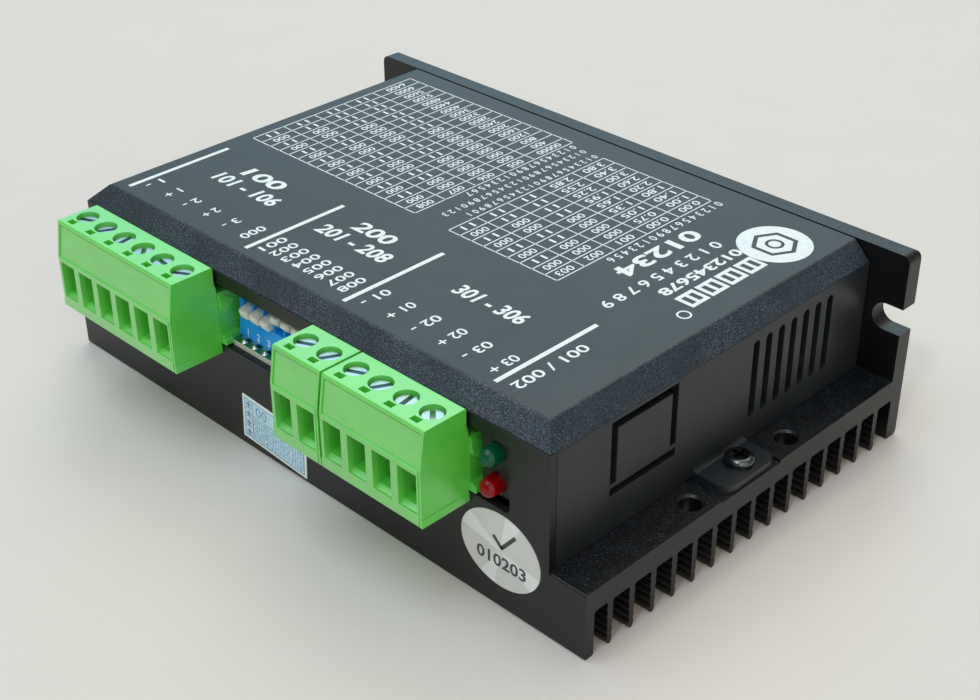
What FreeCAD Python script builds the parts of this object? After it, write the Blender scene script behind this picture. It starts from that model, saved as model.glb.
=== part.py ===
import FreeCAD
import Part
import math
import os

# Stepper driver module. A black finned U-shaped heat sink carries a circuit board,
# a folded sheet cover closes it, and three pluggable screw terminals stand out of
# the front wall beside a row of rocker switches and two indicator lamps.
#
# Millimetres. +X runs along the fins and +Z is up. The connectors face -Y and the
# flange for wall mounting is at +Y. The origin is at the middle of the overall
# footprint, level with the tips of the fins.

# --- driving dimensions ---------------------------------------------------------
BODY_LENGTH = 118.0
BODY_DEPTH = 75.5
BODY_HEIGHT = 33.4
COVER_TOP = 33.3
PLUG_REACH = 9.1
BASE_TOP = 11.3
POLE_PITCH = 5.08

X_END = BODY_LENGTH / 2
FRONT = PLUG_REACH - (BODY_DEPTH + PLUG_REACH) / 2
REAR = FRONT + BODY_DEPTH

# --- heat sink --------------------------------------------------------------------
SLOT_TOP = 7.6
FIN_COUNT = 15
FIN_PITCH = 4.53
FIRST_FIN = 5.05
FIN_ROOT = 1.0
FIN_TIP = 0.7
FIN_RIBS = 5
RIB_DEPTH = 0.13
SLOT_CORNER = 0.5
LOWER_WALL = 1.8
UPPER_WALL = 1.2
WALL_TOP = 30.35
FLANGE_LOWER = 2.8
FLANGE_UPPER = 3.2
FLANGE_CORNER = 1.3
LEDGE = 6.7
LEDGE_ROUND = 0.35
NOTCH_SPACING = 112.0
NOTCH_WIDTH = 4.6
NOTCH_Z = 22.0
BASE_HOLE_R = 1.7
BASE_HOLE_SLOTS = (5, 10)
POCKET_Y = (FRONT + 28.75, FRONT + 42.75)
POCKET_DEPTH = 0.4

# Window in the front wall, measured along X from the left end.
WINDOW_LEFT = 9.5
WINDOW_RIGHT = 104.0
WINDOW_BOTTOM = 17.2
WINDOW_TOP = 28.1

# --- cover --------------------------------------------------------------------------
SHEET = 1.2
BEVEL = 3.0
BEND_R = 0.7
COVER_GAP = 0.1
COVER_REAR_GAP = 0.25
TAB_Y = (FRONT + 30.5, FRONT + 42.4)
TAB_REACH = 6.35
TAB_CORNER = 2.1
COVER_SCREW_X = 55.5
COVER_SCREW_Y = FRONT + 37.2
VENT_COUNT = 7
VENT_PITCH = 3.05
VENT_WIDTH = 1.5
VENT_FIRST = FRONT + 43.7
VENT_Z = (15.4, 28.6)
KNOCKOUT_Y = (FRONT + 11.9, FRONT + 25.9)
KNOCKOUT_Z = (17.6, 29.7)
KNOCKOUT_SLIT = 1.3
KNOCKOUT_BRIDGE = 0.7

# --- circuit board ------------------------------------------------------------------
BOARD_TOP = 18.0
BOARD_THICK = 1.6
BOARD_BOTTOM = BOARD_TOP - BOARD_THICK
BOARD_X = 50.1
BOARD_FRONT = FRONT + 1.36
BOARD_REAR = FRONT + 71.3
LAMP_NOTCH_LEFT = 98.0
LAMP_NOTCH_REAR = FRONT + 3.5
STANDOFFS = [(sx * 46.0, FRONT + y) for sx in (-1, 1) for y in (16.0, 66.0)]
SCREW_M25 = 1.25
HOLE_M25 = 1.28
PIN_HOLE_R = 0.75

# --- pluggable terminals --------------------------------------------------------------
# name: (number of poles, middle of the terminal along X from the left end)
# Enable and signal stand side by side, so each has one free end.
TERMINALS = {"power": (6, 25.86), "enable": (2, 70.33), "signal": (4, 86.15)}
FREE_ENDS = {"power": (-1, 1), "enable": (-1,), "signal": (1,)}
PLUG_TOP = 31.0
PLUG_BOTTOM = 15.7
PLUG_REAR = FRONT - 0.1
PLUG_FRONT = FRONT - PLUG_REACH
END_MARGIN = 0.2
FRONT_PANEL = 0.8
PANEL_UPPER_EDGE = 0.45
PANEL_GAP = 0.25
SIDE_WALL = 0.4
LIP_Z = 24.9
LEAN_Z = LIP_Z + 0.1
LEAN_BACK = 0.95
LIP_STEP = 0.3
REAR_STEP = 0.3
REAR_STEP_Z = (27.0, 28.2)
HEADER_FRONT = FRONT - 0.05
HEADER_REAR = FRONT + 10.2
HEADER_TOP = 26.3
HEADER_WALL = 0.9
EAR_REACH = 0.75
FOOT_Z = (17.4, 18.6)
FOOT_REACH = {-1: 0.7, 1: 1.3}
RAIL_REACH = 0.8
RAIL_REAR = FRONT + 3.4
RAIL_TOP = BOARD_TOP + 0.9
PIN_Z = 22.2
PIN_HALF = 0.5
SCREW_Y = FRONT - 4.05
WELL_R = 1.86
WELL_FLOOR = 28.6
HEAD_R = 1.72
HEAD_TOP = 30.45
HEAD_SLOT = 0.8
SHANK_END = 23.15
CHAMBER_HALF = 1.85
CHAMBER_Y = (FRONT - 6.2, FRONT - 1.9)
CHAMBER_Z = (16.9, 28.0)
ENTRY_Z = (17.7, 24.1)
CLAMP_HALF = 1.75
CLAMP_WINDOW = 1.32
CLAMP_Y = (FRONT - 5.6, FRONT - 2.5)
CLAMP_Z = (17.1, 24.2)
CLAMP_PLATE = 0.9
CLAMP_FLOOR = 0.8

# --- rocker switch row -----------------------------------------------------------------
SWITCH_COUNT = 8
SWITCH_PITCH = 2.54
SWITCH_CENTRE = 53.2
SWITCH_LENGTH = 21.9
SWITCH_FRONT = FRONT + 2.85
SWITCH_LEAN = 0.75
SWITCH_REAR = FRONT + 9.3
SWITCH_Z = (18.3, 27.4)
KEY_PIVOT_Y = FRONT + 6.1
KEY_PIVOT_Z = 23.85
KEY_REACH = 4.15
KEY_WIDTH = 2.0
KEY_THICK = 1.45
KEY_HUB_R = 0.9
KEY_TILT = 16.5
KEYS_DOWN = (1, 2, 3)

# --- indicator lamps ------------------------------------------------------------------
LAMP_X = 100.2
LAMP_DOME_Y = FRONT + 0.1
LAMP_Z = {"green": 24.8, "red": 19.85}
LAMP_R = 1.5
LAMP_RIM_R = 1.65
HOLDER_HALF = 2.7
HOLDER_FRONT = FRONT + 1.5
HOLDER_REAR = FRONT + 9.6
HOLDER_TOP = 27.4
HOLDER_WALL = 0.8

# --- labels on the front wall --------------------------------------------------------
LABEL_THICK = 0.12
OVAL_LABEL = (102.3, 10.2, 7.55, 6.2)
GRID_LABEL = (52.85, 5.4, 15.5, 8.2)
GRID_LABEL_TILT = 3.6


# --- helpers ---------------------------------------------------------------------------
def vec(x, y, z):
    return FreeCAD.Vector(x, y, z)


def from_left(distance):
    """X of a point measured from the left end of the body."""
    return distance - X_END


def box(x0, x1, y0, y1, z0, z1):
    return Part.makeBox(x1 - x0, y1 - y0, z1 - z0, vec(x0, y0, z0))


def bar(x, half, y0, y1, z0, z1):
    """Box centred on x."""
    return box(x - half, x + half, y0, y1, z0, z1)


def post(x, y, z0, z1, radius):
    return Part.makeCylinder(radius, z1 - z0, vec(x, y, z0), vec(0, 0, 1))


def rod_y(x, z, y0, y1, radius):
    return Part.makeCylinder(radius, y1 - y0, vec(x, y0, z), vec(0, 1, 0))


def prism_x(points, x0, x1):
    """Outline given as (y, z) points, carried along X."""
    corners = [vec(x0, y, z) for y, z in points]
    wire = Part.makePolygon(corners + corners[:1])
    return Part.Face(wire).extrude(vec(x1 - x0, 0, 0))


def join(shapes):
    first = shapes[0]
    if len(shapes) == 1:
        return first
    return first.fuse(shapes[1:]).removeSplitter()


def group(shapes):
    return Part.makeCompound(shapes)


def edges_along(shape, axis, test):
    """Straight edges parallel to an axis whose middle point passes the test."""
    chosen = []
    for edge in shape.Edges:
        ends = [v.Point for v in edge.Vertexes]
        if len(ends) != 2:
            continue
        run = (ends[1] - ends[0]).normalize()
        middle = (ends[0] + ends[1]) * 0.5
        if abs(abs(run.dot(axis)) - 1) < 1e-6 and test(middle):
            chosen.append(edge)
    return chosen


def round_slot(x0, x1, y, width, z0, z1):
    """Slot with round ends, standing along Z and cut along X."""
    radius = width / 2
    straight = box(x0, x1, y - radius, y + radius, z0 + radius, z1 - radius)
    ends = [
        Part.makeCylinder(radius, x1 - x0, vec(x0, y, z), vec(1, 0, 0))
        for z in (z0 + radius, z1 - radius)
    ]
    return join([straight] + ends)


class Outline:
    """Closed outline in a plane of constant X, drawn with lines and arcs."""

    def __init__(self, x, y, z):
        self.x = x
        self.start = (y, z)
        self.here = (y, z)
        self.edges = []

    def point(self, yz):
        return vec(self.x, yz[0], yz[1])

    def line(self, y, z):
        self.edges.append(Part.LineSegment(self.point(self.here), self.point((y, z))).toShape())
        self.here = (y, z)

    def arc(self, middle, end):
        curve = Part.Arc(self.point(self.here), self.point(middle), self.point(end))
        self.edges.append(curve.toShape())
        self.here = end

    def round_corner(self, corner, end):
        """Quarter round from here to end about a square corner."""
        centre = (self.here[0] + end[0] - corner[0], self.here[1] + end[1] - corner[1])
        share = math.sqrt(0.5)
        middle = tuple(c + (k - c) * share for c, k in zip(centre, corner))
        self.arc(middle, end)

    def solid(self, length):
        self.line(*self.start)
        return Part.Face(Part.Wire(self.edges)).extrude(vec(length, 0, 0))


# --- heat sink ---------------------------------------------------------------------------
def fin_y(index):
    return FRONT + FIRST_FIN + FIN_PITCH * index


def fin_half(z):
    return (FIN_TIP + (FIN_ROOT - FIN_TIP) * z / SLOT_TOP) / 2


def draw_fin(outline, centre):
    """One fin, down its front side, round its tip and up its ribbed back side."""
    z_root = SLOT_TOP - SLOT_CORNER
    z_tip = FIN_TIP / 2
    step = (z_root - z_tip) / FIN_RIBS
    left = centre - fin_half(z_root)
    outline.line(left - SLOT_CORNER, SLOT_TOP)
    outline.round_corner((left, SLOT_TOP), (left, z_root))
    levels = [z_root - step * rib for rib in range(FIN_RIBS + 1)]
    for side in (-1, 1):
        for upper, lower in zip(levels, levels[1:]):
            middle = (upper + lower) / 2
            peak = (centre + side * (fin_half(middle) + RIB_DEPTH), middle)
            outline.arc(peak, (centre + side * fin_half(lower), lower))
        if side < 0:
            outline.arc((centre, 0), (centre + fin_half(z_tip), z_tip))
            levels.reverse()
    right = centre + fin_half(z_root)
    outline.round_corner((right, SLOT_TOP), (right + SLOT_CORNER, SLOT_TOP))


def heatsink_extrusion():
    inner = REAR - FLANGE_UPPER
    lower = REAR - FLANGE_LOWER
    foot = 0.4
    outline = Outline(-X_END, FRONT, WALL_TOP)
    outline.line(FRONT, foot)
    outline.round_corner((FRONT, 0), (FRONT + foot, 0))
    outline.line(FRONT + LOWER_WALL - foot, 0)
    outline.round_corner((FRONT + LOWER_WALL, 0), (FRONT + LOWER_WALL, foot))
    outline.line(FRONT + LOWER_WALL, SLOT_TOP - SLOT_CORNER)
    corner = (FRONT + LOWER_WALL, SLOT_TOP)
    outline.round_corner(corner, (corner[0] + SLOT_CORNER, SLOT_TOP))
    for index in range(FIN_COUNT):
        draw_fin(outline, fin_y(index))
    outline.line(lower - SLOT_CORNER, SLOT_TOP)
    outline.round_corner((lower, SLOT_TOP), (lower, SLOT_TOP - SLOT_CORNER))
    outline.line(lower, foot)
    outline.round_corner((lower, 0), (lower + foot, 0))
    outline.line(REAR - 2 * foot, 0)
    outline.round_corner((REAR, 0), (REAR, 2 * foot))
    outline.line(REAR, BODY_HEIGHT - foot)
    outline.round_corner((REAR, BODY_HEIGHT), (REAR - foot, BODY_HEIGHT))
    outline.line(inner, BODY_HEIGHT)
    outline.line(inner, BASE_TOP)
    outline.line(FRONT + UPPER_WALL, BASE_TOP)
    outline.line(FRONT + UPPER_WALL, WALL_TOP)
    return outline.solid(BODY_LENGTH)


def front_window():
    opening = box(
        from_left(WINDOW_LEFT), from_left(WINDOW_RIGHT),
        FRONT - 1, FRONT + UPPER_WALL + 0.2, WINDOW_BOTTOM, WINDOW_TOP,
    )
    corners = edges_along(opening, vec(0, 1, 0), lambda p: True)
    return opening.makeFillet(0.8, corners)


def flange_notch(side):
    radius = NOTCH_WIDTH / 2
    centre_x = side * NOTCH_SPACING / 2
    outer_x = side * (X_END + 1)
    mouth = box(
        min(centre_x, outer_x), max(centre_x, outer_x),
        REAR - 5, REAR + 1, NOTCH_Z - radius, NOTCH_Z + radius,
    )
    return join([mouth, rod_y(centre_x, NOTCH_Z, REAR - 5, REAR + 1, radius)])


def flange_top_corner(side):
    """What is taken off to round one top corner of the flange."""
    edge = X_END - FLANGE_CORNER
    block = box(edge, X_END + 1, REAR - 5, REAR + 1, BODY_HEIGHT - FLANGE_CORNER, BODY_HEIGHT + 1)
    rounded = block.cut(rod_y(edge, BODY_HEIGHT - FLANGE_CORNER, REAR - 6, REAR + 2, FLANGE_CORNER))
    if side < 0:
        rounded = rounded.mirror(vec(0, 0, 0), vec(1, 0, 0))
    return rounded


def base_hole_y(slot):
    """Middle of a slot between two fins, where a base hole can pass."""
    return (fin_y(slot - 1) + fin_y(slot)) / 2


def base_hole(x, y):
    """Chamfered hole into a slot, drilled on past the slot's rounded corners."""
    chamfer = 0.35
    hole = post(x, y, SLOT_TOP - 2 * SLOT_CORNER, BASE_TOP + 1, BASE_HOLE_R)
    mouth = Part.makeCone(
        BASE_HOLE_R, BASE_HOLE_R + chamfer + 0.1, chamfer + 0.1, vec(x, y, BASE_TOP - chamfer)
    )
    return join([hole, mouth])


def tab_pocket(side):
    inner = X_END - LEDGE - SHEET - 0.6
    pocket = box(inner, X_END + 1, *POCKET_Y, BASE_TOP - POCKET_DEPTH, BASE_TOP + 1)
    corners = edges_along(pocket, vec(0, 0, 1), lambda p: p.x < X_END)
    pocket = pocket.makeFillet(1.0, corners)
    if side < 0:
        pocket = pocket.mirror(vec(0, 0, 0), vec(1, 0, 0))
    return pocket


def make_heatsink():
    cuts = [front_window()]
    for side in (-1, 1):
        ends = sorted((side * (X_END - LEDGE), side * (X_END + 1)))
        cuts.append(box(ends[0], ends[1], FRONT - 1, FRONT + 5, BASE_TOP, BODY_HEIGHT + 1))
        cuts.append(flange_notch(side))
        cuts.append(flange_top_corner(side))
        cuts.append(tab_pocket(side))
        for slot in BASE_HOLE_SLOTS:
            cuts.append(base_hole(side * NOTCH_SPACING / 2, base_hole_y(slot)))
        cuts.append(post(side * COVER_SCREW_X, COVER_SCREW_Y, SLOT_TOP + 0.35, BASE_TOP + 1, HOLE_M25))
    for x, y in STANDOFFS:
        cuts.append(post(x, y, SLOT_TOP + 0.35, BASE_TOP + 1, HOLE_M25))
    body = heatsink_extrusion().cut(cuts)
    ledge_edges = edges_along(
        body, vec(1, 0, 0), lambda p: abs(p.y - FRONT) < 0.01 and abs(p.z - BASE_TOP) < 0.01
    )
    return body.makeFillet(LEDGE_ROUND, ledge_edges)


# --- cover -------------------------------------------------------------------------------
def cover_block(inset):
    """Closed block with the three bevelled top edges, inset for the inside."""
    x = X_END - LEDGE - inset
    top = COVER_TOP - inset
    y0 = FRONT + inset
    y1 = REAR - FLANGE_UPPER - COVER_REAR_GAP + inset
    bevel = BEVEL - inset * (2 - math.sqrt(2))
    block = box(-x, x, y0, y1, BASE_TOP - 1, top)
    chosen = edges_along(block, vec(0, 1, 0), lambda p: p.z > top - 0.1)
    chosen += edges_along(block, vec(1, 0, 0), lambda p: p.z > top - 0.1 and p.y < y0 + 0.1)
    return block.makeChamfer(bevel, chosen)


def rounded_cover_block():
    block = cover_block(0)
    top = COVER_TOP
    chosen = edges_along(block, vec(0, 1, 0), lambda p: p.z > top - BEVEL - 0.1)
    chosen += edges_along(block, vec(1, 0, 0), lambda p: p.z > top - 0.1 and p.y < FRONT + 5)
    return block.makeFillet(BEND_R, chosen)


def cover_tab(side):
    """Fixing tab folded out from the bottom of an end flange."""
    wall_x = X_END - LEDGE
    floor = BASE_TOP - POCKET_DEPTH
    top = floor + SHEET
    bend_r = 0.8
    tab = box(wall_x - SHEET, wall_x + TAB_REACH, *TAB_Y, floor, top)
    corners = edges_along(tab, vec(0, 0, 1), lambda p: p.x > wall_x)
    tab = tab.makeFillet(TAB_CORNER, corners)
    riser = box(wall_x - SHEET, wall_x, *TAB_Y, floor, BASE_TOP + 2)
    bend = box(wall_x, wall_x + bend_r, *TAB_Y, top, top + bend_r)
    bend = bend.cut(rod_y(wall_x + bend_r, top + bend_r, TAB_Y[0] - 1, TAB_Y[1] + 1, bend_r))
    shape = join([tab, riser, bend])
    shape = shape.cut(post(COVER_SCREW_X, COVER_SCREW_Y, floor - 1, floor + 3, 1.5))
    if side < 0:
        shape = shape.mirror(vec(0, 0, 0), vec(1, 0, 0))
    return shape


def knockout_slit():
    """Slit round a knock-out panel, with two bridges left to hold the panel."""
    x0 = X_END - LEDGE - SHEET - 0.3
    x1 = X_END - LEDGE + 1
    y0, y1 = KNOCKOUT_Y
    z0, z1 = KNOCKOUT_Z
    slit = box(x0, x1, y0, y1, z0, z1)
    panel = box(
        x0 - 1, x1 + 1, y0 + KNOCKOUT_SLIT, y1 - KNOCKOUT_SLIT,
        z0 + KNOCKOUT_SLIT, z1 - KNOCKOUT_SLIT,
    )
    bridge_z = z0 + KNOCKOUT_SLIT
    bridge = box(x0 - 1, x1 + 1, y0 - 1, y1 + 1, bridge_z, bridge_z + KNOCKOUT_BRIDGE)
    return slit.cut([panel, bridge])


def end_vents():
    reach = X_END - LEDGE + 1
    cuts = []
    for side in (-1, 1):
        inner = side * (X_END - LEDGE - SHEET - 0.3)
        x0, x1 = sorted((inner, side * reach))
        for index in range(VENT_COUNT):
            y = VENT_FIRST + VENT_PITCH * index
            cuts.append(round_slot(x0, x1, y, VENT_WIDTH, *VENT_Z))
    return cuts


def make_cover():
    x = X_END - LEDGE + 1
    shell = rounded_cover_block().cut(cover_block(SHEET))
    wall_space = box(
        -x, x, FRONT - 1, FRONT + UPPER_WALL + COVER_GAP, BASE_TOP - 2, WALL_TOP + COVER_GAP
    )
    under = box(-x, x, FRONT - 1, REAR, BASE_TOP - 2, BASE_TOP + COVER_GAP)
    behind_wall = box(
        -X_END + LEDGE + SHEET, X_END - LEDGE - SHEET,
        FRONT - 1, FRONT + 8, BASE_TOP - 2, WALL_TOP + COVER_GAP,
    )
    shell = shell.cut([wall_space, under, behind_wall])
    shell = join([shell, cover_tab(1), cover_tab(-1)])
    return shell.cut([knockout_slit()] + end_vents())


# --- pan head screws ------------------------------------------------------------------------
def cross_recess(x, y, top, span, depth):
    width = span * 0.24
    arms = [
        box(x - span / 2, x + span / 2, y - width / 2, y + width / 2, top - depth, top + 1),
        box(x - width / 2, x + width / 2, y - span / 2, y + span / 2, top - depth, top + 1),
    ]
    return join(arms)


def pan_screw(x, y, seat, tip, head_r, head_h, shank_r):
    """Pan head with a cross recess, seated at seat and reaching down to tip."""
    head = post(x, y, seat, seat + head_h, head_r)
    rim = [e for e in head.Edges if len(e.Vertexes) == 1 and e.Vertexes[0].Z > seat + head_h - 0.01]
    head = head.makeFillet(head_h * 0.55, rim)
    screw = join([head, post(x, y, tip, seat, shank_r)])
    return screw.cut(cross_recess(x, y, seat + head_h, head_r * 1.15, head_h * 0.6))


def make_cover_screws():
    seat = BASE_TOP - POCKET_DEPTH + SHEET
    tip = SLOT_TOP + 0.5
    return group([
        pan_screw(side * COVER_SCREW_X, COVER_SCREW_Y, seat, tip, 2.3, 1.5, SCREW_M25)
        for side in (-1, 1)
    ])


def make_board_screws():
    return group([
        pan_screw(x, y, BOARD_TOP, SLOT_TOP + 0.5, 2.3, 1.7, SCREW_M25) for x, y in STANDOFFS
    ])


def make_board_standoffs():
    sleeves = []
    for x, y in STANDOFFS:
        sleeve = post(x, y, BASE_TOP, BOARD_BOTTOM, 2.75)
        sleeves.append(sleeve.cut(post(x, y, BASE_TOP - 1, BOARD_BOTTOM + 1, 1.4)))
    return group(sleeves)


# --- labels -----------------------------------------------------------------------------------
def make_oval_label():
    x, z, half_length, half_height = OVAL_LABEL
    edge = Part.Ellipse(vec(0, 0, 0), half_length, half_height).toShape()
    label = Part.Face(Part.Wire(edge)).extrude(vec(0, 0, LABEL_THICK))
    label.rotate(vec(0, 0, 0), vec(1, 0, 0), 90)
    label.translate(vec(from_left(x), FRONT, z))
    return label


def make_grid_label():
    x, z, length, height = GRID_LABEL
    centre = vec(from_left(x), FRONT, z)
    label = box(
        centre.x - length / 2, centre.x + length / 2,
        FRONT - LABEL_THICK, FRONT, z - height / 2, z + height / 2,
    )
    label.rotate(centre, vec(0, 1, 0), GRID_LABEL_TILT)
    return label


# --- circuit board ------------------------------------------------------------------------------
def pole_positions(name):
    count, middle = TERMINALS[name]
    first = from_left(middle) - POLE_PITCH * (count - 1) / 2
    return [first + POLE_PITCH * index for index in range(count)]


def switch_positions():
    first = from_left(SWITCH_CENTRE) - SWITCH_PITCH * (SWITCH_COUNT - 1) / 2
    return [first + SWITCH_PITCH * index for index in range(SWITCH_COUNT)]


HEADER_PIN_Y = FRONT + 11.2
SWITCH_PIN_Y = (FRONT + 2.1, FRONT + 9.75)
LAMP_PIN_Y = {"green": FRONT + 8.4, "red": FRONT + 6.2}
LAMP_PIN_X = (-1.27, 1.27)


def board_pin_positions():
    """Where every soldered pin goes through the board."""
    places = []
    for name in TERMINALS:
        places += [(x, HEADER_PIN_Y) for x in pole_positions(name)]
    for y in SWITCH_PIN_Y:
        places += [(x, y) for x in switch_positions()]
    for y in LAMP_PIN_Y.values():
        places += [(from_left(LAMP_X) + dx, y) for dx in LAMP_PIN_X]
    return places


def make_main_board():
    board = box(-BOARD_X, BOARD_X, BOARD_FRONT, BOARD_REAR, BOARD_BOTTOM, BOARD_TOP)
    below = BOARD_BOTTOM - 1
    above = BOARD_TOP + 1
    cuts = [post(x, y, below, above, 1.4) for x, y in STANDOFFS]
    cuts.append(box(from_left(LAMP_NOTCH_LEFT), X_END, FRONT, LAMP_NOTCH_REAR, below, above))
    for x, y in board_pin_positions():
        if y in SWITCH_PIN_Y:
            cuts.append(post(x, y, below, above, PIN_HOLE_R / 2 + 0.1))
        else:
            cuts.append(post(x, y, below, above, PIN_HOLE_R))
    return board.cut(cuts)


def bent_pin(x, half, tip_y, down_y, z, foot):
    """Square pin lying along Y that turns down into the board."""
    level = bar(x, half, tip_y, down_y + half, z - half, z + half)
    drop = bar(x, half, down_y - half, down_y + half, foot, z)
    return join([level, drop])


def header_pins():
    foot = BOARD_BOTTOM - 1.6
    pins = []
    for name in TERMINALS:
        for x in pole_positions(name):
            pins.append(bent_pin(x, PIN_HALF, FRONT + 1.8, HEADER_PIN_Y, PIN_Z, foot))
    return pins


def switch_pins():
    foot = BOARD_BOTTOM - 1.2
    shoulder = BOARD_TOP + 0.8
    pins = []
    for x in switch_positions():
        for y, inner in zip(SWITCH_PIN_Y, (SWITCH_FRONT, SWITCH_REAR)):
            leg = bar(x, 0.3, y - 0.15, y + 0.15, foot, shoulder)
            near, far = sorted((y - math.copysign(0.15, inner - y), inner))
            arm = bar(x, 0.55, near, far, shoulder - 0.3, shoulder)
            pins.append(join([leg, arm]))
    return pins


def lamp_leads():
    foot = BOARD_BOTTOM - 1.2
    leads = []
    for colour, z in LAMP_Z.items():
        for dx in LAMP_PIN_X:
            x = from_left(LAMP_X) + dx
            leads.append(bent_pin(x, 0.25, HOLDER_FRONT, LAMP_PIN_Y[colour], z, foot))
    return leads


def make_board_pins():
    return group(header_pins() + switch_pins() + lamp_leads())


# --- terminal headers -----------------------------------------------------------------------------
def terminal_half(name):
    return TERMINALS[name][0] * POLE_PITCH / 2 + END_MARGIN


def snap_ear(x, side):
    """Three-sided wedge on the end wall: flush at its top, proud at its lower point."""
    outline = [(0.15, 26.3), (2.7, 24.5), (0.75, 22.9), (0.15, 23.5)]
    corners = [(FRONT + y, z) for y, z in outline]
    ear = prism_x(corners, x - 1.0, x + 1.0)
    slope = math.degrees(math.atan2(EAR_REACH, 26.3 - 22.9))
    beyond = bar(x + side * 2.0, 2.0, FRONT - 2, FRONT + 5, 18.0, 30.0)
    beyond.rotate(vec(x, FRONT, 26.3), vec(0, 1, 0), -side * slope)
    return ear.cut(beyond)


def board_foot(x, side):
    """Foot that hooks over the front edge of the board beside the header."""
    inner = x - side * 1.0
    outer = x + side * FOOT_REACH[side]
    x0, x1 = sorted((inner, outer))
    foot = box(x0, x1, HEADER_FRONT, BOARD_FRONT - 0.05, FOOT_Z[0], FOOT_Z[1])
    return foot.makeFillet(0.3, edges_along(foot, vec(0, 1, 0), lambda p: abs(p.x - outer) < 0.1))


def side_rail(x, side):
    """Low rail along the foot of an end wall, lying on the board."""
    x0, x1 = sorted((x - side * 0.5, x + side * RAIL_REACH))
    return box(x0, x1, HEADER_FRONT, RAIL_REAR, BOARD_TOP, RAIL_TOP)


def make_header(name):
    middle = from_left(TERMINALS[name][1])
    half = terminal_half(name)
    shell = bar(middle, half, HEADER_FRONT, HEADER_REAR, BOARD_TOP, HEADER_TOP)
    for side in FREE_ENDS[name]:
        x = middle + side * half
        shell = join([shell, snap_ear(x, side), board_foot(x, side), side_rail(x, side)])
    cuts = [
        bar(
            middle, half - HEADER_WALL, HEADER_FRONT - 1, HEADER_REAR - 1.6,
            BOARD_TOP + 1.1, HEADER_TOP - 0.9,
        )
    ]
    for x in pole_positions(name):
        cuts.append(bar(x, PIN_HALF, HEADER_FRONT, HEADER_REAR + 1, PIN_Z - PIN_HALF, PIN_Z + PIN_HALF))
        cuts.append(bar(x, 0.9, HEADER_FRONT - 1, HEADER_FRONT + 3.2, HEADER_TOP - 1.5, HEADER_TOP + 1))
    return shell.cut(cuts)


# --- plugs -------------------------------------------------------------------------------------------
def front_lean(x0, x1, y):
    """Wedge that lies before a plug's leaning upper front, whose foot is at y."""
    outline = [
        (y - 2, LEAN_Z), (y, LEAN_Z), (y + LEAN_BACK, PLUG_TOP),
        (y + LEAN_BACK, PLUG_TOP + 1), (y - 2, PLUG_TOP + 1),
    ]
    return prism_x(outline, x0, x1)


def rear_step(x0, x1):
    """Wedge taken off the upper rear, which stands a little forward of the lower rear."""
    outline = [
        (PLUG_REAR, REAR_STEP_Z[0]), (PLUG_REAR - REAR_STEP, REAR_STEP_Z[1]),
        (PLUG_REAR - REAR_STEP, PLUG_TOP + 1), (PLUG_REAR + 1, PLUG_TOP + 1), (PLUG_REAR + 1, REAR_STEP_Z[0]),
    ]
    return prism_x(outline, x0, x1)


def lean_at(z):
    """How far a plug's upper front stands back at one height."""
    return LEAN_BACK * (z - LEAN_Z) / (PLUG_TOP - LEAN_Z)


def front_recess(middle, half):
    """Space that the front panel fills between a plug's side walls."""
    foot = PLUG_FRONT + LIP_STEP
    top = PLUG_TOP - 0.6
    outline = [
        (PLUG_FRONT - 1, PLUG_BOTTOM - 1), (foot + FRONT_PANEL, PLUG_BOTTOM - 1), (foot + FRONT_PANEL, LEAN_Z),
        (foot + lean_at(top) + PANEL_UPPER_EDGE, top), (PLUG_FRONT - 1, top),
    ]
    return prism_x(outline, middle - half, middle + half)


def plug_outer(name):
    """Moulded block of one plug before its chambers are cut."""
    middle = from_left(TERMINALS[name][1])
    half = terminal_half(name)
    skin = 0.15
    outer = half - skin
    front = PLUG_FRONT + 0.1
    block = bar(middle, outer, front, PLUG_REAR, PLUG_BOTTOM + 1.3, PLUG_TOP)
    block = block.cut([
        front_lean(middle - half, middle + half, front),
        rear_step(middle - half, middle + half),
    ])
    top_edges = edges_along(block, vec(1, 0, 0), lambda p: p.z > PLUG_TOP - 0.1)
    block = block.makeFillet(0.25, top_edges)
    plinth = bar(middle, half, front, PLUG_REAR, PLUG_BOTTOM, PLUG_BOTTOM + 1.3)
    body = join([block, plinth]).cut(front_recess(middle, outer - SIDE_WALL))
    spigot = bar(
        middle, half - HEADER_WALL - 0.15, PLUG_REAR, FRONT + 7.9, BOARD_TOP + 1.3, HEADER_TOP - 1.6
    )
    return join([body, spigot])


def entry_cut(x):
    """Wire entry with a floor that ramps up behind the mouth."""
    z0, z1 = ENTRY_Z
    front = PLUG_FRONT - 1
    outline = [
        (front, z0 - 0.1), (PLUG_FRONT + 0.3, z0), (PLUG_FRONT + 1.1, z0 + 0.45),
        (PLUG_FRONT + 2.2, z0 + 0.6), (CHAMBER_Y[0] + 0.2, z0 + 0.6),
        (CHAMBER_Y[0] + 0.2, z1), (front, z1),
    ]
    return prism_x(outline, x - CHAMBER_HALF, x + CHAMBER_HALF)


def pole_cuts(x):
    return [
        bar(x, CHAMBER_HALF, CHAMBER_Y[0], CHAMBER_Y[1], CHAMBER_Z[0], CHAMBER_Z[1]),
        entry_cut(x),
        post(x, SCREW_Y, WELL_FLOOR, PLUG_TOP + 1, WELL_R),
        post(x, SCREW_Y, CHAMBER_Z[1] - 0.1, WELL_FLOOR + 0.1, SCREW_M25 + 0.1),
        bar(x, 1.3, CHAMBER_Y[1] - 0.1, FRONT + 8.5, 21.0, 23.4),
        bar(x - 0.35, 0.8, FRONT - 7.3, FRONT - 6.2, PLUG_TOP - 1.5, PLUG_TOP + 1),
    ]


def make_plug_housing(name):
    cuts = []
    for x in pole_positions(name):
        cuts += pole_cuts(x)
    return plug_outer(name).cut(cuts)


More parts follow.
